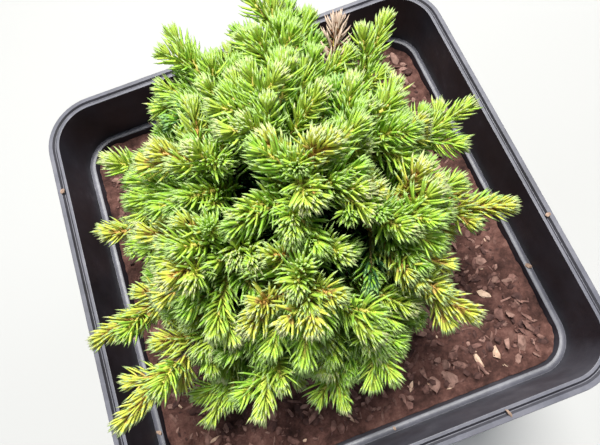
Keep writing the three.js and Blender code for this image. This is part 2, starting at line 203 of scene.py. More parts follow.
# Points in millimetres, faces as rows of three
def meshFromArrays(name, points, faces, materials, slots=None, smooth=True):
    mesh = bpy.data.meshes.new(name)
    faces = np.asarray(faces, np.int32)
    mesh.vertices.add(len(points))
    mesh.vertices.foreach_set("co", (points * mm).astype(np.float32).ravel())
    mesh.loops.add(faces.size)
    mesh.loops.foreach_set("vertex_index", faces.ravel())
    mesh.polygons.add(len(faces))
    mesh.polygons.foreach_set("loop_start", np.arange(0, faces.size, 3, dtype=np.int32))
    if slots is not None:
        mesh.polygons.foreach_set("material_index", np.asarray(slots, np.int32))
    mesh.polygons.foreach_set("use_smooth", np.full(len(faces), smooth))
    mesh.update(calc_edges=True)
    for material in materials:
        mesh.materials.append(material)
    return addObject(name, mesh)


# An empty mesh object in edit mode, alone in the selection
def startPiece(name):
    bpy.ops.object.select_all(action="DESELECT")
    piece = addObject(name, bpy.data.meshes.new(name))
    bpy.context.view_layer.objects.active = piece
    piece.select_set(True)
    bpy.ops.object.mode_set(mode="EDIT")
    return piece


def finishPiece(piece, smoothAngle):
    bpy.ops.object.mode_set(mode="OBJECT")
    for modifier in list(piece.modifiers):
        bpy.ops.object.modifier_apply(modifier=modifier.name)
    bpy.ops.object.shade_smooth_by_angle(angle=math.radians(smoothAngle))
    bpy.ops.object.select_all(action="DESELECT")


# Moves the selected vertices, which lie on one square ring with round corners, to another
def reshapeRing(piece, old, new):
    (oldHalf, oldRadius, _), (newHalf, newRadius, z) = old, new
    shape = bmesh.from_edit_mesh(piece.data)
    for vert in shape.verts:
        if vert.select:
            place = []
            for value in (vert.co.x / mm, vert.co.y / mm):
                side = math.copysign(1, value)
                outward = (value - side * (oldHalf - oldRadius)) / oldRadius
                place.append(side * (newHalf - newRadius) + outward * newRadius)
            vert.co = Vector((*place, z)) * mm
    bmesh.update_edit_mesh(piece.data)


# Extrudes a square face with round corners from one (half width, corner radius, height) to the next
def stackRings(piece, profile, steps):
    half, radius, z = profile[0]
    bpy.ops.mesh.primitive_plane_add(size=2 * half * mm, location=(0, 0, z * mm))
    bpy.ops.mesh.bevel(offset=radius * mm, segments=steps, affect="VERTICES")
    for old, new in zip(profile, profile[1:]):
        bpy.ops.mesh.extrude_region_move()
        reshapeRing(piece, old, new)
    bpy.ops.mesh.select_all(action="SELECT")
    bpy.ops.mesh.normals_make_consistent(inside=False)


# Pot

pot = {
    "height": 140,
    "wall": 1.4,
    "footHalf": 56,
    "footCorner": 13,
    "shoulderHalf": 71.2,
    "ledgeWidth": 2.4,
    "collarDepth": 21.8,
    "collarDraft": 0.9,
    "lipReach": 4.1,
    "lipDrop": 5.5,
    "cornerRadius": 11,
    "cornerSteps": 14,
    "drainRadius": 4,
    "drainOffset": 40,
    "edgeRound": 0.55,
    "lipGroove": 0.7,
    "grooveFrom": 0.375,
    "grooveTo": 0.75,
    "bead": 0.34,
    "curveSteps": 16,
}


def makePot():
    wall = pot["wall"]
    top = pot["height"]
    ledgeZ = top - pot["collarDepth"]
    shoulder = pot["shoulderHalf"]
    collarFoot = shoulder + pot["ledgeWidth"]
    collarTop = collarFoot + pot["collarDraft"]
    lipHalf = collarTop + pot["lipReach"]
    lipFoot = top - pot["lipDrop"]

    def ring(half, z):
        return half, pot["cornerRadius"] + half - shoulder, z

    # The lip's top has a narrow groove all round, and the ledge is a low round bead
    def grooveDepth(share):
        across = (share - pot["grooveFrom"]) / (pot["grooveTo"] - pot["grooveFrom"])
        return pot["lipGroove"] * max(0, 1 - abs(2 * across - 1))

    shares = np.linspace(0, 1, pot["curveSteps"] + 1)
    lip = [ring(lipHalf - share * pot["lipReach"], top - grooveDepth(share)) for share in shares]
    ledge = [
        ring(collarFoot - share * pot["ledgeWidth"], ledgeZ + pot["bead"] * math.sin(math.pi * share))
        for share in shares
    ]
    profile = [
        (pot["footHalf"], pot["footCorner"], 0),
        ring(shoulder + wall, ledgeZ - wall),
        ring(collarFoot + wall, ledgeZ - wall),
        ring(collarTop + wall, top - wall),
        ring(lipHalf - wall, top - wall),
        ring(lipHalf - wall, lipFoot),
        ring(lipHalf, lipFoot),
        *lip,
        *ledge,
        (pot["footHalf"] - wall, pot["footCorner"] - wall, wall),
    ]
    drill = startPiece("drill")
    offset = pot["drainOffset"] * mm
    for column in (-1, 0, 1):
        for row in (-1, 0, 1):
            if column or row:
                bpy.ops.mesh.primitive_cylinder_add(
                    vertices=24, radius=pot["drainRadius"] * mm, depth=4 * wall * mm,
                    location=(column * offset, row * offset, 0),
                )
    bpy.ops.object.mode_set(mode="OBJECT")

    piece = startPiece("pot_shell")
    stackRings(piece, profile, pot["cornerSteps"])
    cut = piece.modifiers.new("drain holes", "BOOLEAN")
    cut.object = drill
    cut.solver = "EXACT"
    rounding = piece.modifiers.new("round edges", "BEVEL")
    rounding.width = pot["edgeRound"] * mm
    rounding.segments = 4
    rounding.limit_method = "ANGLE"
    rounding.angle_limit = math.radians(50)
    finishPiece(piece, smoothAngle=30)
    bpy.data.objects.remove(drill)
    piece.data.materials.append(potPlastic())
    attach(piece, "root")
    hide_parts("pot")
    print("pot:", len(piece.data.polygons), "faces")


# Compost

compost = {
    "gap": 0.3,
    "top": 117.4,
    "edgeDrop": 1.6,
    "bumps": 2.4,
    "waves": (0.11, 0.13),
    "gridSteps": 200,
    "relief": ((0.055, 1.3), (0.2, 1.3), (0.62, 0.7)),
    "seed": 7,
}
# name, darkest and lightest colour, number, shortest and longest, narrowest and widest share
chips = {
    "kinds": [
        ("clods_dark", (0.022, 0.009, 0.008), (0.080, 0.037, 0.031), 1900, (1.0, 5.0), (0.35, 0.8)),
        ("clods_brown", (0.060, 0.027, 0.022), (0.160, 0.082, 0.068), 1900, (0.9, 5.5), (0.3, 0.75)),
        ("flakes", (0.110, 0.058, 0.048), (0.270, 0.160, 0.130), 420, (2.5, 8.0), (0.3, 0.65)),
        ("slivers_brown", (0.066, 0.031, 0.026), (0.215, 0.118, 0.096), 420, (3.0, 9.0), (0.14, 0.32)),
        ("slivers_tan", (0.270, 0.165, 0.115), (0.540, 0.390, 0.290), 110, (1.6, 6.5), (0.2, 0.5)),
    ],
    "thick": (0.2, 0.5),
    "leastThick": 0.05,
    "tilt": 0.42,
    "uneven": 0.34,
    "sunk": 0.05,
    "fromWall": 3.5,
    "cornerCut": 6,
    "seed": 31,
}


def insideHalf(z):
    foot = pot["footHalf"] - pot["wall"]
    share = (z - pot["wall"]) / (pot["height"] - pot["collarDepth"] - 1.5 * pot["wall"])
    return foot + (pot["shoulderHalf"] - foot) * share


# Half the filling's width at a height, a little clear of the wall
def fillingHalf(z):
    return insideHalf(z) - 1.2 * compost["gap"]


compostEdge = fillingHalf(compost["top"] - compost["edgeDrop"])


# The compost's surface; the same waves as the solid's, with lumps on top
def compostHeight(x, y):
    share = min(1, max(abs(x), abs(y)) / compostEdge)
    wave = math.sin(x * compost["waves"][0] + 1) * math.cos(y * compost["waves"][1])
    dome = compost["edgeDrop"] * share ** 2
    z = compost["top"] - dome + compost["bumps"] * wave * share ** 2 * (1 - share)
    for scale, height in compost["relief"]:
        z += height * noise.noise(Vector((x * scale, y * scale, compost["seed"])))
    return z


def makeCompost():
    footZ = pot["wall"] + compost["gap"]
    straight = compostEdge - pot["cornerRadius"]
    steps = compost["gridSteps"]
    piece = startPiece("compost_surface")
    bpy.ops.mesh.primitive_grid_add(
        x_subdivisions=steps, y_subdivisions=steps, size=2 * compostEdge * mm,
        location=(0, 0, compost["top"] * mm),
    )
    shape = bmesh.from_edit_mesh(piece.data)
    for vert in shape.verts:
        x, y = vert.co.x / mm, vert.co.y / mm
        overX = abs(x) - straight
        overY = abs(y) - straight
        if overX > 0 and overY > 0:
            pull = max(overX, overY) / math.hypot(overX, overY)
            x = math.copysign(straight + overX * pull, x)
            y = math.copysign(straight + overY * pull, y)
        vert.co = Vector((x, y, compostHeight(x, y))) * mm
    bmesh.update_edit_mesh(piece.data)
    bpy.ops.mesh.select_all(action="SELECT")
    bpy.ops.mesh.region_to_loop()
    bpy.ops.mesh.extrude_region_move(TRANSFORM_OT_translate={"value": (0, 0, 0)})
    shape = bmesh.from_edit_mesh(piece.data)
    shrink = fillingHalf(footZ) / compostEdge
    for vert in shape.verts:
        if vert.select:
            vert.co = Vector((vert.co.x * shrink, vert.co.y * shrink, footZ * mm))
    bmesh.update_edit_mesh(piece.data)
    bpy.ops.mesh.edge_face_add()
    bpy.ops.mesh.select_all(action="SELECT")
    bpy.ops.mesh.normals_make_consistent(inside=False)
    finishPiece(piece, smoothAngle=60)
    piece.data.materials.append(compostMaterial())
    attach(piece, "root")
    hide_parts("compost")
    print("compost:", len(piece.data.polygons), "faces")


# The corners and faces of the ball that every clod and sliver is pulled out of
def ballShape():
    shape = bmesh.new()
    bmesh.ops.create_icosphere(shape, subdivisions=1, radius=1)
    corners = np.array([vert.co[:] for vert in shape.verts])
    faces = np.array([[vert.index for vert in face.verts] for face in shape.faces])
    shape.free()
    return corners, faces


# Places are rows of (x, y, z) for the middles
def scatterChips(name, dark, light, places, lengths, wide, random):
    count = len(places)
    ballCorners, ballFaces = ballShape()
    uneven = random.uniform(1 - chips["uneven"], 1 + chips["uneven"], (count, len(ballCorners), 1))
    corners = ballCorners * uneven
    across = random.uniform(*wide, count)
    thick = random.uniform(*chips["thick"], count) * across + chips["leastThick"]
    thick = np.minimum(across, thick)
    corners *= np.stack([np.ones(count), across, thick], 1)[:, None] * (lengths / 2)[:, None, None]
    turn = random.uniform(0, math.tau, count)
    tilt = np.tan(random.normal(0, chips["tilt"], (count, 2)))
    along = unitRows(np.stack([np.cos(turn), np.sin(turn), tilt[:, 0]], 1))
    up = unitRows(np.cross(along, np.stack([-np.sin(turn), np.cos(turn), tilt[:, 1]], 1)))
    axes = np.stack([along, np.cross(up, along), up], 1)
    points = np.einsum("nvk,nkj->nvj", corners, axes) + places[:, None]
    faces = (ballFaces + (np.arange(count) * len(ballCorners))[:, None, None]).reshape(-1, 3)
    material = chipMaterial(name, dark, light)
    piece = meshFromArrays(name, points.reshape(-1, 3), faces, [material], smooth=False)
    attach(piece, "root")


def makeChips():
    random = np.random.default_rng(chips["seed"])
    reach = insideHalf(compost["top"] - compost["edgeDrop"]) - chips["fromWall"]
    total = 0
    for name, dark, light, count, (short, long), wide in chips["kinds"]:
        lengths = short + (long - short) * random.power(0.7, count) ** 2
        x, y = random.uniform(-reach, reach, (2, count))
        cornerCut = np.maximum(np.abs(x) + np.abs(y) - 2 * reach + chips["cornerCut"], 0)
        x -= np.sign(x) * cornerCut
        y -= np.sign(y) * cornerCut
        z = [compostHeight(a, b) + chips["sunk"] * length for a, b, length in zip(x, y, lengths)]
        scatterChips(name, dark, light, np.stack([x, y, z], 1), lengths, wide, random)
        total += count
    print("chips:", total)


# Crumbs that lie on the ledge and on the rim, by side of the pot and place along it
crumbs = {
    "ledge": [(0, -38), (0, -8), (0, 31), (1, 44), (1, -20), (2, 12), (2, 46), (2, -31), (3, 5), (3, -48)],
    "rim": [(0, -26), (1, 21), (2, -44), (3, 37)],
    "length": (1.6, 3.4),
    "width": (0.4, 0.8),
    "middle": 0.35,
    "dark": (0.10, 0.06, 0.045),
    "light": (0.34, 0.24, 0.18),
    "seed": 5,
}


def makeCrumbs():
    random = np.random.default_rng(crumbs["seed"])
    collarFoot = pot["shoulderHalf"] + pot["ledgeWidth"]
    ledge = ((pot["shoulderHalf"] + collarFoot) / 2, pot["height"] - pot["collarDepth"])
    rim = (collarFoot + pot["collarDraft"] + pot["lipReach"] / 2, pot["height"])
    places = []
    for spots, (out, z) in ((crumbs["ledge"], ledge), (crumbs["rim"], rim)):
        for side, along in spots:
            # Each side is a quarter turn on from the one before
            spot = complex(out, along) * 1j ** side
            places.append((spot.real, spot.imag, z + crumbs["middle"]))
    places = np.array(places)
    lengths = random.uniform(*crumbs["length"], len(places))
    scatterChips("crumbs", crumbs["dark"], crumbs["light"], places, lengths, crumbs["width"], random)


# Trunk and boughs, by the rule of the solids

trunk = {
    "foot": compost["top"] + compost["gap"],
    "tip": 171,
    "footRadius": 4.4,
    "tipRadius": 1.3,
    "taper": 0.85,
    "flareHeight": 5,
    "flareSpread": 1.9,
    "flareRoots": 5,
    "lean": (1.6, -1.2),
    "rings": 9,
}
bough = {
    "rootRadius": 1.7,
    "ofTrunk": 0.8,
    "tipRadius": 1,
    "kneeAt": 0.55,
    "sag": 2.5,
}
crown = {
    "heart": (0, 0, 146),
    "middleShare": 0.68,
    "sideShare": 0.15,
    "stemFoot": -15,
    "coreMiddle": -5.8,
    "coreLength": 7.4,
    "coreWidth": 13.5,
    "twigFirst": -12,
    "twigLast": 23,
    "twigSpread": (66, 36),
    "twigLengths": (29, 20),
    "twigVariation": 0.16,
    "twigRadius": 1.8,
    "twigSunk": 4,
    "ringSpacing": 5,
    "tipNeedle": 4.5,
    "cellMargin": 0.22,
    "potMargin": 1,
    "limbMargin": 0.45,
    "limbSamples": 8,
    "refits": 9,
    "straightening": 0.87,
    "shortening": 0.94,
    "firstSeed": 101,
}
goldenAngle = math.pi * (3 - math.sqrt(5))

# name, azimuth and elevation at the heart in degrees, reach of the leading shoot and of
# the rest, rise up the trunk, twigs, and the piece that holds its needles
masses = [
    ("low_back_right", 48, 2, 52, 46, 0.14, 5, "low_back"),
    ("low_back", 88, 3, 56, 51, 0.22, 5, "low_back"),
    ("low_back_left", 122, 8, 64, 52, 0.3, 6, "low_back"),
    ("low_left", 161, -1, 70, 54, 0.14, 7, "low_back"),
    ("low_front_left", 225, -4, 70, 54, 0.22, 7, "low_front"),
    ("low_front", 262, 3, 60, 49, 0.3, 7, "low_front"),
    ("low_front_right", 298, 0, 50, 43, 0.14, 5, "low_front"),
    ("low_right", 352, -2, 44, 41, 0.22, 5, "low_front"),
    ("left", 146, 20, 65, 54, 0.4, 5, "left"),
    ("left_leader", 195, 16, 72, 50, 0.48, 8, "left"),
    ("front_left_leader", 213, 16, 80, 52, 0.56, 10, "left"),
    ("front", 241, 20, 64, 51, 0.4, 6, "front"),
    ("front_right", 277, 19, 60, 53, 0.48, 5, "front"),
    ("front_right_leader", 304, 21, 63, 45, 0.56, 7, "front"),
    ("right_leader", 337, 19, 65, 44, 0.4, 7, "right"),
    ("right", 8, 22, 64, 43, 0.48, 7, "right"),
    ("back_right_leader", 41, 33, 68, 47, 0.56, 7, "right"),
    ("back", 76, 38, 73, 63, 0.4, 7, "back"),
    ("back_left", 107, 34, 70, 60, 0.48, 6, "back"),
    ("upper_back_right", 14, 55, 57, 54, 0.72, 5, "back"),
    ("upper_back", 92, 66, 60, 58, 0.88, 5, "top_back"),
    ("upper_left", 150, 53, 58, 57, 0.8, 5, "top_back"),
    ("upper_front_left", 203, 48, 60, 58, 0.64, 5, "top_front"),
    ("upper_front", 258, 50, 61, 58, 0.72, 5, "top_front"),
    ("upper_right", 318, 50, 59, 55, 0.64, 5, "top_front"),
    ("top", 280, 84, 61, 59, 1, 5, "top_back"),
]


# Numbers from 0 to 1, the same as the solids' rule draws
def seededRandom(state):
    whole = 0xFFFFFFFF

    def draw():
        nonlocal state
        state = (state + 0x6D2B79F5) & whole
        t = ((state ^ (state >> 15)) * (1 | state)) & whole
        t = ((t + (((t ^ (t >> 7)) * (61 | t)) & whole)) ^ t) & whole
        return (t ^ (t >> 14)) / 4294967296

    return draw


def unit(vector):
    return vector / np.linalg.norm(vector)


def mix(a, b, share):
    return a + (b - a) * share


def trunkPoint(share):
    leanX, leanY = trunk["lean"]
    return np.array([leanX * share ** 2, leanY * share ** 2, mix(trunk["foot"], trunk["tip"], share)])


def trunkRadius(share):
    return mix(trunk["footRadius"], trunk["tipRadius"], share ** trunk["taper"])


# Where a mass points, its middle, its bough, and how far its shoots may reach
def layOut(number, name, azimuth, elevation, reach, bun, rise, twigs, group):
    azimuth, elevation = math.radians(azimuth), math.radians(elevation)
    direction = np.array([
        math.cos(azimuth) * math.cos(elevation),
        math.sin(azimuth) * math.cos(elevation),
        math.sin(elevation),
    ])
    middleAt = bun * crown["middleShare"]
    middle = crown["heart"] + direction * middleAt
    root = trunkPoint(rise)
    tip = middle + direction * crown["stemFoot"]
    knee = mix(root, tip, bough["kneeAt"])
    knee[2] -= bough["sag"]
    thick = min(bough["rootRadius"], bough["ofTrunk"] * trunkRadius(rise))
    aside = unit(np.cross((0, 0, 1), direction))
    return SimpleNamespace(
        number=number,
        name=name,
        group=group,
        twigs=twigs,
        direction=direction,
        aside=aside,
        up=np.cross(direction, aside),
        middle=middle,
        middleAt=middleAt,
        bun=bun,
        leaderTip=reach - middleAt,
        sideReach=mix(bun, reach, crown["sideShare"]),
        bough=[root, knee, tip] if name != "top" else None,
        radii=[thick, (thick + bough["tipRadius"]) / 2, bough["tipRadius"]],
    )


def alongStem(own, along):
    return own.middle + own.direction * along


crownMasses = [layOut(number, *mass) for number, mass in enumerate(masses)]
middles = np.array([mass.middle for mass in crownMasses])

limbs = []
for ring in range(trunk["rings"]):
    low, high = ring / trunk["rings"], (ring + 1) / trunk["rings"]
    flare = trunk["flareSpread"] if ring == 0 else 0
    limbs.append((trunkPoint(low), trunkPoint(high), trunkRadius(low) + flare))
for mass in crownMasses:
    if mass.bough:
        limbs += zip(mass.bough, mass.bough[1:], mass.radii)
limbFrom, limbTo, limbRadius = map(np.array, zip(*limbs))
limbAxis = limbTo - limbFrom


def clearOfLimbs(start, end):
    samples = np.linspace(0, 1, crown["limbSamples"] + 1)[:, None]
    points = mix(start, end, samples)[:, None]
    share = ((points - limbFrom) * limbAxis).sum(2) / (limbAxis ** 2).sum(1)
    nearest = limbFrom + np.clip(share, 0, 1)[..., None] * limbAxis
    away = np.linalg.norm(points - nearest, axis=2)
    return (away > limbRadius + crown["twigRadius"] + crown["limbMargin"]).all()


# Whether a point is nearer to its own mass's middle than to any other's
def inCell(point, own, margin=crown["cellMargin"]):
    across = np.delete(middles, own.number, 0) - own.middle
    length = np.linalg.norm(across, axis=1)
    return (((point - own.middle) * across).sum(1) / length < length / 2 - margin).all()


def clearOfPot(point):
    margin = crown["potMargin"]
    within = max(abs(point[0]), abs(point[1])) < pot["shoulderHalf"] - 2 * margin
    return point[2] > compost["top"] + margin and (within or point[2] > pot["height"] + margin)


# How far along a twig the solid's core ends
def leaveCore(root, axis, own):
    step = 0.25
    offset = root - alongStem(own, crown["coreMiddle"])
    rootAlong, axisAlong = offset @ own.direction, axis @ own.direction
    rootAcross = offset - rootAlong * own.direction
    axisAcross = axis - axisAlong * own.direction
    long, wide = crown["coreLength"] ** 2, crown["coreWidth"] ** 2
    a = axisAlong ** 2 / long + axisAcross @ axisAcross / wide
    b = 2 * (rootAlong * axisAlong / long + rootAcross @ axisAcross / wide)
    c = rootAlong ** 2 / long + rootAcross @ rootAcross / wide - 1
    leave = step if c > 0 else math.ceil((-b + math.sqrt(b * b - 4 * a * c)) / (2 * a) / step) * step
    return max(leave, crown["twigSunk"])


# The leading shoot and the side twigs of a mass, as the solids have them
def branchTwigs(own, random):
    firstRoll = random() * math.tau
    leaderLength = own.leaderTip - crown["coreMiddle"] - crown["tipNeedle"]
    twigs = [(alongStem(own, crown["coreMiddle"]), own.aside, 0, leaderLength)]
    for i in range(own.twigs):
        share = i / (own.twigs - 1)
        roll = firstRoll + i * goldenAngle
        twigs.append((
            alongStem(own, mix(crown["twigFirst"], own.leaderTip - crown["twigLast"], share)),
            own.aside * math.cos(roll) + own.up * math.sin(roll),
            math.radians(mix(*crown["twigSpread"], share)),
            mix(*crown["twigLengths"], share) * (1 + crown["twigVariation"] * (random() - 0.5)),
        ))
    return twigs


def fromHeart(point):
    return np.linalg.norm(point - crown["heart"])


# Draws a twig in towards the stem until it keeps to its mass's space, or gives none
def fitTwig(root, away, spread, length, own):
    for i in range(crown["refits"]):
        angle = spread * crown["straightening"] ** i
        axis = own.direction * math.cos(angle) + away * math.sin(angle)
        tip = root + axis * length * crown["shortening"] ** i
        point = tip + axis * crown["tipNeedle"]
        surface = leaveCore(root, axis, own)
        longEnough = np.linalg.norm(tip - root) > surface + crown["ringSpacing"] / 2
        within = spread == 0 or fromHeart(point) < own.sideReach
        fits = longEnough and within and inCell(point, own) and clearOfPot(point)
        if fits and clearOfLimbs(root + axis * surface, tip):
            return root, tip


# Finer twigs. Tones run from 0, old growth in painted shade, to 1, this year's growth in painted light.

finer = {
    "forkEvery": 6.4,
    "forkFrom": 0.16,
    "forkTo": 0.7,
    "forkSpread": (52, 40),
    "forkWander": 5,
    "forkLengths": (17, 12),
    "forkVariation": 0.35,
    "leaderFrom": 13,
    "leaderForks": 0.62,
    "innerTwigs": 14,
    "innerFrom": -20,
    "innerTo": 6,
    "innerSpread": (105, 56),
    "innerLengths": (15, 18),
    "innerVariation": (0.85, 1.15),
    "boughTwigs": 8,
    "boughTwigLength": 9,
    "boughVariation": (0.7, 1.2),
    "boughForward": 0.5,
    "trunkTwigs": 22,
    "trunkFrom": 0.3,
    "bare": {"twig": 4, "fork": 1, "inner": 2, "bough": 1},
    "twigTone": (0.8, 1),
    "forkTone": (0.36, 1.0),
    "toneSpread": 0.1,
    "innerTone": (0, 0.3),
    "boughTone": (0, 0.15),
    "familyKept": 0.7,
    "overlap": 3.5,
    "tries": 6,
    "shrink": 0.9,
    "arch": 0.17,
    "archOut": 0.8,
    "archDown": 0.6,
    "sag": -0.4,
    "toneRise": 0.16,
    "level": 0.3,
    "seed": 501,
}
# The share of a mass's sprays that are golden, the masses whose leading shoot is, and
# the spray that has died: the twig it stands on, where along it, and its tip
goldenShare = {
    "right_leader": 0.8,
    "front_right_leader": 0.5,
    "right": 0,
    "upper_right": 0.4,
    "upper_front": 0.25,
    "front_left_leader": 0.35,
    "left_leader": 0.3,
    "back_right_leader": 0,
}
usualGolden = 0.08
goldenLeaders = ["left_leader", "front_left_leader", "front_right_leader", "right_leader"]
deadSpray = {"mass": "back", "twig": 2, "from": 0.8, "tip": (27.5, 38.5, 181.5), "tone": 0.9}


Shoot = namedtuple("Shoot", "root tip bare tone order family", defaults=["green"])


# A finer twig goes no further out from the heart than the furthest point it is given.
def fitFiner(root, stem, away, spread, length, own, furthest):
    for i in range(finer["tries"]):
        shrink = finer["shrink"] ** i
        angle = spread * shrink
        axis = stem * math.cos(angle) + away * math.sin(angle)
        tip = root + axis * length * shrink
        point = tip + axis * crown["tipNeedle"]
        within = fromHeart(point) < furthest
        if within and inCell(point, own, -finer["overlap"]) and clearOfPot(point):
            return root, tip


def sideways(axis):
    aside = unit(np.cross((0.31, 0.17, 0.93), axis))
    return aside, np.cross(axis, aside)


# Short shoots set round a longer one by the golden angle
def forksOf(root, tip, own, random):
    axis = unit(tip - root)
    aside, up = sideways(axis)
    length = np.linalg.norm(tip - root)
    count = max(2, round(length / finer["forkEvery"]))
    firstRoll = random.uniform(0, math.tau)
    furthest = fromHeart(tip + axis * crown["tipNeedle"])
    found = []
    for i in range(count):
        share = mix(finer["forkFrom"], finer["forkTo"], i / (count - 1))
        roll = firstRoll + i * goldenAngle
        away = aside * math.cos(roll) + up * math.sin(roll)
        spread = math.radians(mix(*finer["forkSpread"], share) + random.normal(0, finer["forkWander"]))
        long = mix(*finer["forkLengths"], share) * (1 + finer["forkVariation"] * (random.uniform() - 0.5))
        start = mix(root, tip, share)
        if fromHeart(start) > own.bun - finer["leaderFrom"]:
            long *= finer["leaderForks"]
        fork = fitFiner(start, axis, away, spread, long, own, furthest)
        if fork:
            found.append((*fork, share))
    return found


# Short shaded twigs along a limb, which fill the inside of the crown
def limbShoots(start, end, count, random):
    axis = unit(end - start)
    aside, up = sideways(axis)
    firstRoll = random.uniform(0, math.tau)
    shoots = []
    for i in range(count):
        roll = firstRoll + i * goldenAngle
        away = unit(axis * finer["boughForward"] + aside * math.cos(roll) + up * math.sin(roll))
        root = mix(start, end, (i + 0.5) / count)
        tip = root + away * finer["boughTwigLength"] * random.uniform(*finer["boughVariation"])
        if clearOfPot(tip + away * crown["tipNeedle"]):
            # Their dark tones are painted shade inside the crown
            tone = random.uniform(*finer["boughTone"])
            shoots.append(Shoot(root, tip, finer["bare"]["bough"], tone, 2))
    return shoots


def growMass(own):
    random = np.random.default_rng(finer["seed"] + own.number)
    golden = goldenShare.get(own.name, usualGolden)
    bare = finer["bare"]
    shoots = []
    twigs = branchTwigs(own, seededRandom(crown["firstSeed"] + own.number))
    fitted = filter(None, (fitTwig(*twig, own) for twig in twigs))
    for twigNumber, (root, tip) in enumerate(fitted):
        leading = twigNumber == 0 and own.name in goldenLeaders
        family = "golden" if random.uniform() < golden or leading else "green"
        shoots.append(Shoot(root, tip, bare["twig"], random.uniform(*finer["twigTone"]), 0, family))
        if (own.name, twigNumber) == (deadSpray["mass"], deadSpray["twig"]):
            dead = mix(root, tip, deadSpray["from"]), np.array(deadSpray["tip"])
            shoots.append(Shoot(*dead, bare["fork"], deadSpray["tone"], 1, "dead"))
        for forkRoot, forkTip, share in forksOf(root, tip, own, random):
            # Forks near a twig's foot get darker tones, painted shade, and sprays higher up lighter ones,
            # painted light
            lit = finer["toneRise"] * (forkTip[2] - crown["heart"][2]) / own.bun
            tone = mix(*finer["forkTone"], share) + lit + random.normal(0, finer["toneSpread"])
            forkFamily = family if random.uniform() < finer["familyKept"] else "green"
            shoots.append(Shoot(forkRoot, forkTip, bare["fork"], tone, 1, forkFamily))
    # Inner twigs get the darkest tones, painted shade inside the crown
    for i in range(finer["innerTwigs"]):
        share = i / (finer["innerTwigs"] - 1)
        roll = goldenAngle * (i + 0.5) + own.number
        away = own.aside * math.cos(roll) + own.up * math.sin(roll)
        root = alongStem(own, mix(finer["innerFrom"], finer["innerTo"], share))
        length = mix(*finer["innerLengths"], share) * random.uniform(*finer["innerVariation"])
        spread = math.radians(mix(*finer["innerSpread"], share))
        inner = fitFiner(root, own.direction, away, spread, length, own, own.middleAt)
        if inner:
            shoots.append(Shoot(*inner, bare["inner"], random.uniform(*finer["innerTone"]), 2))
    if own.bough:
        shoots += limbShoots(own.bough[0], own.bough[2], finer["boughTwigs"], random)
    else:
        shoots += limbShoots(trunkPoint(finer["trunkFrom"]), trunkPoint(1), finer["trunkTwigs"], random)
    return shoots


# Needles

needle = {
    "spacing": (0.21, 0.275, 0.45),
    "length": 7.5,
    "lengthSpread": 0.11,
    "width": 0.41,
    "widthRange": (0.85, 1.15),
    "lengthAtEnds": 0.72,
    "rings": ((0, 0.75), (0.36, 1.0), (0.76, 0.82)),
    "leanFoot": 56,
    "leanMiddle": 43,
    "leanNearTip": 37,
    "leanTip": 25,
    "tipFrom": 0.7,
    "tufts": (38, 27, 8),
    "tuftLean": (0.02, 2.2),
    "tuftLengths": (0.9, 1.25),
    "rollSpread": 0.18,
    "leanSpread": 6,
    "leanRange": (3, 85),
    "curl": 18,
    "lift": 0.12,
    "footTone": 0.62,
    "toneSpread": 0.07,
    "roughness": 0.55,
    "specular": 0.3,
    "seed": 77,
}
needleColours = {
    "shade": (0.004, 0.018, 0.007),
    "blue_green": (0.036, 0.104, 0.036),
    "sage": (0.168, 0.310, 0.098),
    "deep_green": (0.058, 0.168, 0.016),
    "leaf_green": (0.200, 0.380, 0.037),
    "fresh_green": (0.308, 0.488, 0.054),
    "soft_green": (0.238, 0.358, 0.096),
    "lime": (0.346, 0.462, 0.064),
    "yellow_green": (0.430, 0.465, 0.066),
    # A light lime for needle feet, lightened as painted light against the shade near the shoot's axis
    "painted_light_lime": (0.500, 0.600, 0.085),
    # The pale tip colours are the needles' paler tips and partly a painted highlight
    "pale_green": (0.282, 0.366, 0.132),
    "cream_green": (0.352, 0.384, 0.168),
    "amber": (0.500, 0.365, 0.095),
    "dead_brown": (0.230, 0.120, 0.065),
    "dead_grey": (0.400, 0.300, 0.230),
}
colourNames = list(needleColours)
# foot, middle and tip of a needle, from the oldest and most shaded spray of a family to its youngest and
# best lit, so the darkest steps are painted shade
palettes = {
    "green": [
        ("shade", "shade", "blue_green"),
        ("shade", "deep_green", "blue_green"),
        ("deep_green", "blue_green", "sage"),
        ("deep_green", "leaf_green", "sage"),
        ("fresh_green", "leaf_green", "soft_green"),
        ("lime", "leaf_green", "soft_green"),
        ("painted_light_lime", "fresh_green", "soft_green"),
        ("painted_light_lime", "fresh_green", "soft_green"),
        ("painted_light_lime", "lime", "pale_green"),
        ("painted_light_lime", "lime", "cream_green"),
    ],
    "golden": [
        ("leaf_green", "leaf_green", "soft_green"),
        ("yellow_green", "fresh_green", "soft_green"),
        ("yellow_green", "lime", "pale_green"),
        ("amber", "yellow_green", "pale_green"),
        ("amber", "yellow_green", "cream_green"),
    ],
    "dead": [("dead_brown", "dead_grey", "dead_grey")],
}
paletteSlots = {
    family: np.array([[colourNames.index(name) for name in palette] for palette in steps])
    for family, steps in palettes.items()
}


# The faces of one needle, three to a ring and closed at both ends, and the colour of each
# as 0 for foot, 1 for middle and 2 for tip
def needleShape():
    faces = [(0, 2, 1)]
    bands = [0]
    last = len(needle["rings"]) - 1
    for level in range(last):
        low, high = 3 * level, 3 * level + 3
        for corner in range(3):
            following = (corner + 1) % 3
            faces.append((low + corner, low + following, high + following))
            faces.append((low + corner, high + following, high + corner))
            bands += [level, level]
    for corner in range(3):
        faces.append((3 * last + corner, 3 * last + (corner + 1) % 3, 3 * last + 3))
        bands.append(last)
    return np.array(faces), np.array(bands)


needleFaces, needleBands = needleShape()


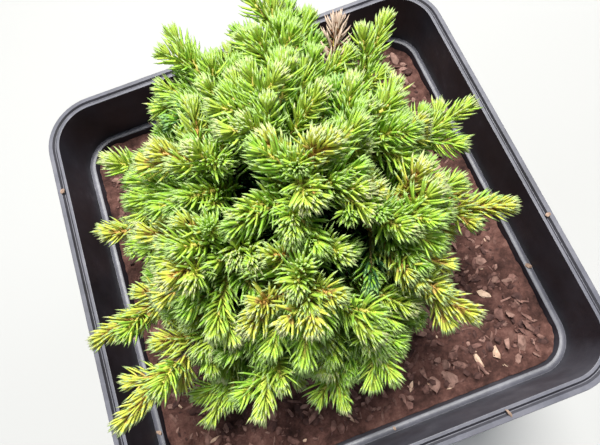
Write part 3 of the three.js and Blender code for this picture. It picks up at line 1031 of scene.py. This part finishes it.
# A point and a heading at each share of a shoot. A steep one arches over, away from the
# trunk, and a level one sags a little and turns up at its tip.
def shootPath(root, tip, shares):
    axis = tip - root
    length = np.linalg.norm(axis)
    outward = unit(np.array([tip[0] - trunk["lean"][0], tip[1] - trunk["lean"][1], 0]) + 1e-6)
    over = outward * finer["archOut"] - np.array([0, 0, finer["archDown"]])
    over -= (over @ axis) / length ** 2 * axis
    steep = np.clip((axis[2] / length - finer["level"]) / (1 - finer["level"]), finer["sag"], 1)
    bow = -over * finer["arch"] * steep * length
    shares = np.asarray(shares)[:, None]
    points = root + axis * shares + bow * 4 * shares * (1 - shares)
    headings = unitRows(axis + bow * 4 * (1 - 2 * shares))
    return points, headings


# Roots, first and last headings, lengths and colours of a shoot's needles
def needlesOf(shoot, random):
    root, tip, order = shoot.root, shoot.tip, shoot.order
    length = np.linalg.norm(tip - root)
    leafy = max(length - shoot.bare, 2)
    count = max(2, int(leafy / needle["spacing"][order]))
    tuft = needle["tufts"][order]
    shares = np.concatenate([np.linspace(0, 1, count), np.ones(tuft)])
    along = (shoot.bare + shares * leafy) / length
    points, headings = shootPath(root, tip, np.clip(along, 0, 1))
    aside, up = sideways(unit(tip - root))
    firstRoll = random.uniform(0, math.tau)
    uneven = random.normal(0, needle["rollSpread"], len(shares))
    rolls = (firstRoll + np.arange(len(shares)) * goldenAngle + uneven)[:, None]
    radial = np.cos(rolls) * aside + np.sin(rolls) * up
    nearTip = np.clip((shares - needle["tipFrom"]) / (1 - needle["tipFrom"]), 0, 1) ** 1.6
    lean = mix(needle["leanFoot"], needle["leanMiddle"], shares)
    lean = mix(lean, needle["leanNearTip"], nearTip) + random.normal(0, needle["leanSpread"], len(shares))
    lean[count:] = needle["leanTip"] * np.sqrt(random.uniform(*needle["tuftLean"], tuft))
    lean = np.radians(np.clip(lean, *needle["leanRange"]))[:, None]
    last = lean - math.radians(needle["curl"]) * np.clip(lean / 0.8, 0.2, 1)
    lift = np.array([0, 0, needle["lift"]])
    first = unitRows(headings * np.cos(lean) + radial * np.sin(lean) + 0.4 * lift)
    final = unitRows(headings * np.cos(last) + radial * np.sin(last) + lift)
    long = needle["length"] * mix(needle["lengthAtEnds"], 1, np.sin(math.pi * mix(0.1, 1, shares)))
    long = long * (1 + random.normal(0, needle["lengthSpread"], len(shares)))
    long[count:] = crown["tipNeedle"] * random.uniform(*needle["tuftLengths"], tuft)
    slots = paletteSlots[shoot.family]
    youngest = len(slots) - 1
    tones = shoot.tone * mix(needle["footTone"], 1, shares)
    level = (tones + random.normal(0, needle["toneSpread"], len(shares))) * youngest
    return points, first, final, long, slots[np.clip(np.round(level), 0, youngest).astype(int)]


def buildNeedles(name, shoots, materials, random):
    parts = [needlesOf(shoot, random) for shoot in shoots]
    roots, first, final, long, colours = map(np.concatenate, zip(*parts))
    long = long[:, None]
    width = needle["width"] * random.uniform(*needle["widthRange"], (len(long), 1))
    between = unitRows(first + final)
    aside = unitRows(np.cross(first, final + np.array([0.013, 0.021, 0.037])))
    flat = unitRows(np.cross(aside, between))
    points = []
    middle = roots
    reached = 0
    for (share, thick), heading in zip(needle["rings"], (first, first, between)):
        middle = middle + heading * long * (share - reached)
        reached = share
        for corner in range(3):
            angle = math.pi / 2 + corner * math.tau / 3
            points.append(middle + width * thick * (math.cos(angle) * flat + math.sin(angle) * aside))
    points.append(middle + final * long * (1 - reached))
    points = np.stack(points, 1)
    perNeedle = points.shape[1]
    faces = (needleFaces + (np.arange(len(points)) * perNeedle)[:, None, None]).reshape(-1, 3)
    slots = colours[:, needleBands].ravel()
    piece = meshFromArrays(name, points.reshape(-1, 3), faces, materials, slots)
    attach(piece, "root")
    return piece, len(points)


# Twigs inside the foliage

twigLook = {
    "sides": 5,
    "step": 2.6,
    "radii": ((0.95, 0.5), (0.7, 0.42), (0.6, 0.4)),
    "stemSides": 7,
    "stemRadii": (1.5, 1.1),
    "stemOverlap": 1.5,
    "stemEnd": 22,
    "stemLeast": 20,
    "toneSteps": (0.25, 0.55),
    "roughness": 0.6,
}
twigColours = {
    # The darkest twig colour is painted shade, for the stems and twigs inside the crown
    "painted_shade_twig": (0.050, 0.036, 0.018),
    "brown_twig": (0.200, 0.170, 0.042),
    "young_twig": (0.455, 0.385, 0.078),
    "golden_twig": (0.520, 0.305, 0.080),
}


# Rings round a path, closed by a fan at both ends
def tube(points, endHeading, radii, sides):
    aside, up = sideways(unit(points[-1] - points[0]))
    angles = np.linspace(0, math.tau, sides, endpoint=False)[:, None]
    ring = np.cos(angles) * aside + np.sin(angles) * up
    body = points[:, None] + ring[None] * np.asarray(radii)[:, None, None]
    rows = len(points)
    end = points[-1] + np.multiply(endHeading, radii[-1])
    verts = np.concatenate([body.reshape(-1, 3), points[:1], [end]])
    faces = []
    for row in range(rows - 1):
        for side in range(sides):
            a, b = row * sides + side, row * sides + (side + 1) % sides
            faces += [(a, b, b + sides), (a, b + sides, a + sides)]
    last = (rows - 1) * sides
    for side in range(sides):
        following = (side + 1) % sides
        faces.append((last + sides, following, side))
        faces.append((last + sides + 1, last + side, last + following))
    return verts, np.array(faces)


def joinTubes(name, tubes, materials):
    parts = []
    start = 0
    for (verts, triangles), number in tubes:
        parts.append((verts, triangles + start, np.full(len(triangles), number)))
        start += len(verts)
    points, faces, slots = map(np.concatenate, zip(*parts))
    piece = meshFromArrays(name, points, faces, materials, slots)
    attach(piece, "root")
    return piece


# The mass's own stem, then a tube for each shoot, as (tube, colour)
def twigTubes(own, shoots):
    limbTip = own.bough[2] if own.bough else trunkPoint(1)
    stemFoot = limbTip - own.direction * twigLook["stemOverlap"]
    path = np.array([stemFoot, own.middle, alongStem(own, own.leaderTip - twigLook["stemEnd"])])
    if own.leaderTip < twigLook["stemLeast"]:
        path = path[:2]
    radii = np.linspace(*twigLook["stemRadii"], len(path))
    tubes = [(tube(path, own.direction, radii, twigLook["stemSides"]), 0)]
    for shoot in shoots:
        length = np.linalg.norm(shoot.tip - shoot.root)
        shares = np.linspace(0, 1, max(3, round(length / twigLook["step"])))
        points, headings = shootPath(shoot.root, shoot.tip, shares)
        radii = mix(*twigLook["radii"][shoot.order], shares)
        colour = np.searchsorted(twigLook["toneSteps"], shoot.tone, side="right")
        if shoot.family == "golden":
            colour = len(twigColours) - 1
        tubes.append((tube(points, headings[-1], radii, twigLook["sides"]), colour))
    return tubes


def makeFoliage():
    random = np.random.default_rng(needle["seed"])
    shoots = {mass.name: growMass(mass) for mass in crownMasses}
    needleMaterials = [
        newMaterial("needle_" + name, colour, needle["roughness"], needle["specular"])[0]
        for name, colour in needleColours.items()
    ]
    tubes = []
    needles = 0
    for group in dict.fromkeys(mass.group for mass in crownMasses):
        names = [mass.name for mass in crownMasses if mass.group == group]
        ours = [shoot for name in names for shoot in shoots[name]]
        piece, count = buildNeedles("needles_" + group, ours, needleMaterials, random)
        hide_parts(*["foliage_" + name for name in names])
        needles += count
        print("needles", group, count, len(piece.data.polygons))
    for mass in crownMasses:
        tubes += twigTubes(mass, shoots[mass.name])
    twigMaterials = [
        newMaterial(name, colour, twigLook["roughness"])[0] for name, colour in twigColours.items()
    ]
    piece = joinTubes("twigs", tubes, twigMaterials)
    print("shoots:", sum(map(len, shoots.values())), "needles:", needles)
    print("twigs:", len(piece.data.polygons), "faces")


# Bark limbs

barkLook = {
    "trunkSides": 40,
    "trunkRows": 150,
    "boughSides": 16,
    "boughStep": 0.7,
    "relief": ((0.55, 0.32), (1.5, 0.18)),
    "boughRelief": 0.45,
}


# Pushes points out from the limb's middle line by two layers of noise
def barkRelief(points, middle, strength=1):
    moved = points.copy()
    for number, point in enumerate(points):
        outward = unit(point - middle[number] + 1e-9)
        height = 0
        for scale, size in barkLook["relief"]:
            at = Vector((point[0] * scale, point[1] * scale, point[2] * scale * 0.5))
            height += size * noise.noise(at)
        moved[number] += outward * height * strength
    return moved


def makeBark():
    tubes = []
    sides = barkLook["trunkSides"]
    shares = np.linspace(0, 1, barkLook["trunkRows"])
    points = np.array([trunkPoint(share) for share in shares])
    radii = np.array([trunkRadius(share) for share in shares])
    verts, faces = tube(points, (0, 0, 1), radii, sides)
    body = verts[:-2]
    middle = np.repeat(points, sides, 0)
    out = body - middle
    turn = np.arctan2(out[:, 1], out[:, 0])
    flare = trunk["flareSpread"] * np.exp(-(body[:, 2] - trunk["foot"]) / trunk["flareHeight"])
    lobe = 0.6 + 0.4 * np.cos(trunk["flareRoots"] * turn)
    body += unitRows(out) * (flare * lobe)[:, None]
    verts[:-2] = barkRelief(body, middle)
    tubes.append(((verts, faces), 0))
    for mass in crownMasses:
        if not mass.bough:
            continue
        root, knee, tip = mass.bough
        length = np.linalg.norm(knee - root) + np.linalg.norm(tip - knee)
        shares = np.linspace(0, 1, round(length / barkLook["boughStep"]))[:, None]
        curved = mix(mix(root, knee, shares), mix(knee, tip, shares), shares)
        bends = [0, bough["kneeAt"], 1]
        straight = np.stack([np.interp(shares[:, 0], bends, side) for side in zip(*mass.bough)], 1)
        points = (curved + straight) / 2
        radii = np.interp(shares[:, 0], bends, mass.radii)
        verts, faces = tube(points, unit(points[-1] - points[-2]), radii, barkLook["boughSides"])
        middle = np.repeat(points, barkLook["boughSides"], 0)
        verts[:-2] = barkRelief(verts[:-2], middle, barkLook["boughRelief"])
        tubes.append(((verts, faces), 0))
    piece = joinTubes("bark_limbs", tubes, [barkMaterial()])
    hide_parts("trunk", *["bough_" + mass.name for mass in crownMasses if mass.bough])
    print("bark:", len(piece.data.polygons), "faces")


# Stage, lights and camera

stageLook = {
    "floorSize": 3,
    "floorDrop": 0.0002,
    "lampsAim": (0, 0, 0.12),
    "floorColour": (0.38, 0.38, 0.375),
    "sky": (0.84, 0.9, 1.0),
    "skyStrength": 0.36,
}
lamps = [
    # name, place, size, power, colour
    ("overhead", (0.05, 0.3, 1.1), 0.42, 28, (1.0, 0.99, 0.95)),
    ("left fill", (-0.9, -0.3, 0.6), 0.7, 4, (0.9, 0.94, 1.0)),
    ("right fill", (0.9, 0.2, 0.5), 0.6, 3, (0.95, 0.96, 1.0)),
]
cameraLook = {
    "place": (-5.7, -45.2, 293.5),
    "forward": (0.0325, 0.2905, -0.9563),
    "up": (0.351, 0.892, 0.2845),
    "lens": 28.2,
    "sensor": 36,
}


def makeStage():
    bpy.ops.mesh.primitive_plane_add(size=stageLook["floorSize"], location=(0, 0, -stageLook["floorDrop"]))
    floor = bpy.context.object
    floor.name = "floor"
    material, _ = newMaterial("pale floor", stageLook["floorColour"], 0.8, specular=0.2)
    floor.data.materials.append(material)
    world = bpy.data.worlds.new("soft sky")
    world.use_nodes = True
    background = world.node_tree.nodes["Background"]
    background.inputs["Color"].default_value = (*stageLook["sky"], 1)
    background.inputs["Strength"].default_value = stageLook["skyStrength"]
    bpy.context.scene.world = world
    for name, place, size, power, colour in lamps:
        light = bpy.data.lights.new(name, "AREA")
        light.shape = "DISK"
        light.size = size
        light.energy = power
        light.color = colour
        lamp = addObject(name, light)
        lamp.location = place
        lamp.rotation_mode = "QUATERNION"
        aim = Vector(stageLook["lampsAim"]) - Vector(place)
        lamp.rotation_quaternion = aim.to_track_quat("-Z", "Y")


def makeCamera():
    camera = addObject("camera", bpy.data.cameras.new("camera"))
    camera.data.lens = cameraLook["lens"]
    camera.data.sensor_width = cameraLook["sensor"]
    camera.data.clip_start = 0.01
    forward = Vector(cameraLook["forward"]).normalized()
    right = forward.cross(Vector(cameraLook["up"])).normalized()
    turn = Matrix((right, right.cross(forward), -forward)).transposed()
    camera.matrix_world = Matrix.Translation(Vector(cameraLook["place"]) * mm) @ turn.to_4x4()
    bpy.context.scene.camera = camera


bpy.context.scene.view_settings.view_transform = "Standard"
makeStage()
makeCamera()
makePot()
makeCompost()
makeChips()
makeCrumbs()
makeBark()
makeFoliage()
